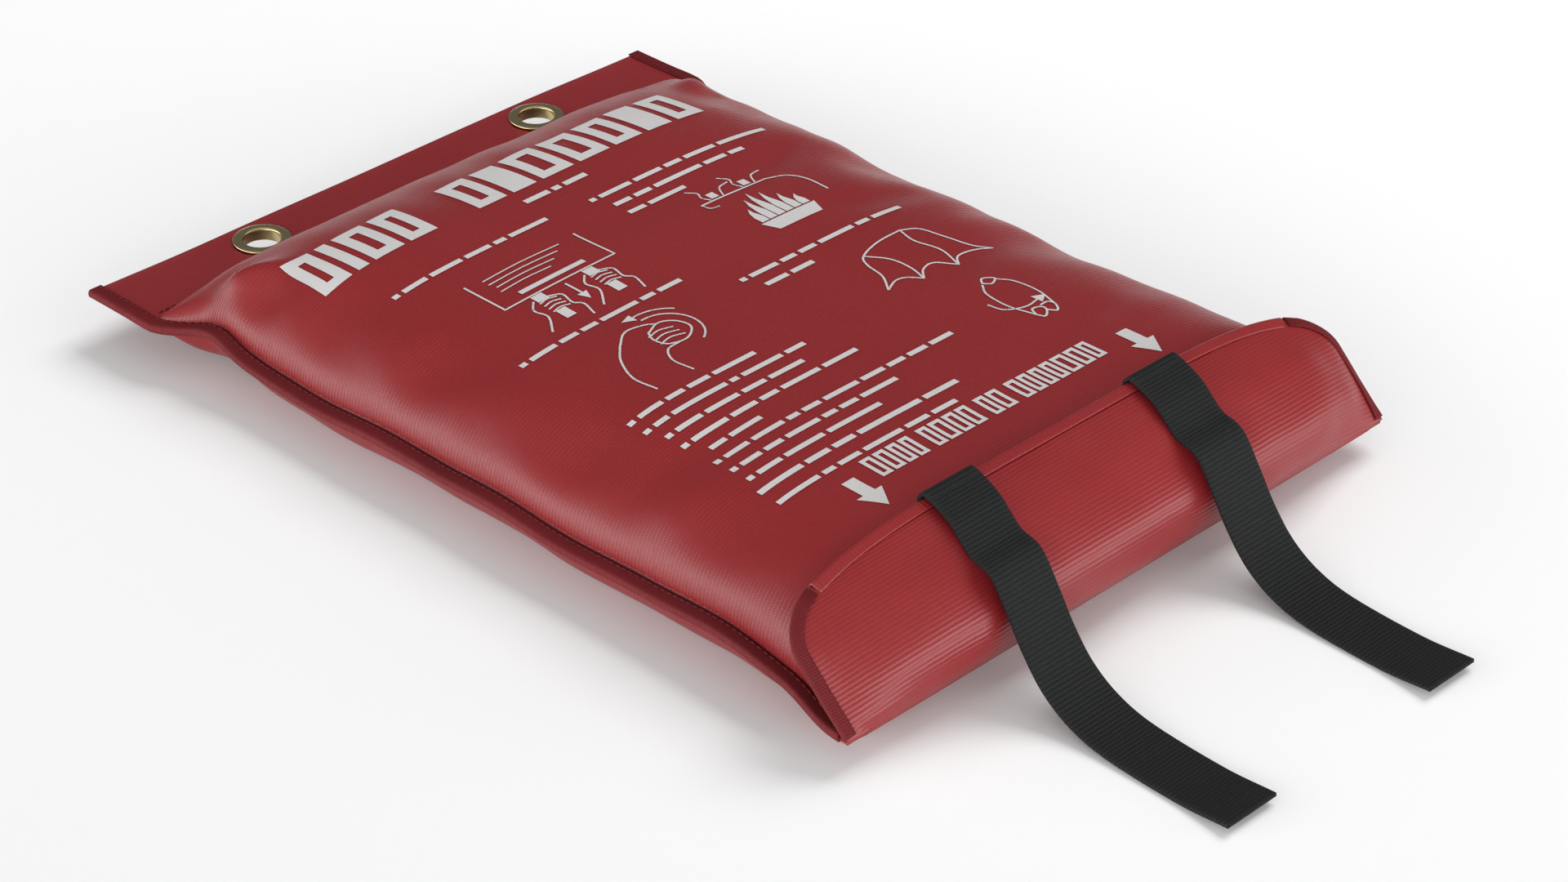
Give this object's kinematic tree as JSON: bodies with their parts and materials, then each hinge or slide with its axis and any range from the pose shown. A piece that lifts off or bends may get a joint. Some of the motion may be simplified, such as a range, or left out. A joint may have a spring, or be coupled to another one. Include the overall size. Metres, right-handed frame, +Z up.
{
  "type": "fire blanket",
  "caption": "Soft hanging pouch with a folded blanket inside, a fold-over flap at its mouth, two pull straps over the flap and an eyeleted header for hanging.",
  "frame": {"origin": "middle of the whole object's box, at floor level, with the pouch lying on its back", "axes": "+X across the pouch, +Y from the mouth towards the hanging header, +Z up out of the front panel"},
  "size_m": [0.3072, 0.5397, 0.0594],
  "materials": {
    "red_cloth": "red coated cloth with a fine rib, satin sheen",
    "red_tape": "darker red ribbed binding tape",
    "red_thread": "red polyester sewing thread",
    "black_webbing": "black ribbed webbing, matte",
    "brass": "polished brass",
    "glass_cloth": "off-white woven glass cloth"
  },
  "bodies": {
    "pouch": {"front_panel": "red_cloth", "back_panel": "red_cloth", "mouth_hem": "red_cloth", "side_binding_left": "red_tape", "side_binding_right": "red_tape", "side_seam_thread_left": "red_thread", "side_seam_thread_right": "red_thread", "header_seam_thread": "red_thread", "eyelet_left": "brass", "eyelet_right": "brass", "eyelet_washer_left": "brass", "eyelet_washer_right": "brass"},
    "flap": {"flap": "red_cloth", "flap_binding_left": "red_tape", "flap_binding_right": "red_tape", "flap_lip_hem": "red_cloth", "strap_inner_left": "black_webbing", "strap_inner_right": "black_webbing"},
    "strap_left": {"strap_upper_left": "black_webbing"},
    "strap_right": {"strap_upper_right": "black_webbing"},
    "strap_tail_left": {"strap_tail_left": "black_webbing"},
    "strap_tail_right": {"strap_tail_right": "black_webbing"},
    "blanket": {"blanket": "glass_cloth", "strap_anchor_left": "black_webbing", "strap_anchor_right": "black_webbing"}
  },
  "joints": [
    {"name": "blanket_pull", "type": "slide", "parent": "pouch", "child": "blanket", "axis": [0, -1, 0], "range_m": [0, 0.045]},
    {"name": "flap_open", "type": "hinge", "parent": "pouch", "child": "flap", "pos_m": [0, -0.1535, 0.0115], "axis": [1, 0, 0], "range_deg": [0, 110.5]},
    {"name": "strap_left_turn", "type": "hinge", "parent": "flap", "child": "strap_left", "pos_m": [0, -0.11349, 0.05942], "axis": [-1, 0, 0], "range_deg": [0, 125.5]},
    {"name": "strap_right_turn", "type": "hinge", "parent": "flap", "child": "strap_right", "pos_m": [0, -0.11349, 0.05942], "axis": [-1, 0, 0], "range_deg": [0, 125.5]},
    {"name": "strap_left_lift", "type": "hinge", "parent": "strap_left", "child": "strap_tail_left", "pos_m": [0, -0.1515, 0.0456], "axis": [-1, 0, 0], "range_deg": [0, 90]},
    {"name": "strap_right_lift", "type": "hinge", "parent": "strap_right", "child": "strap_tail_right", "pos_m": [0, -0.1515, 0.0456], "axis": [-1, 0, 0], "range_deg": [0, 90]}
  ],
  "couplings": [
    {"joint": "flap_open", "follows": "blanket_pull", "rad_per_m": 42.664},
    {"joint": "strap_left_turn", "follows": "blanket_pull", "rad_per_m": 48.481},
    {"joint": "strap_right_turn", "follows": "blanket_pull", "rad_per_m": 48.481}
  ]
}
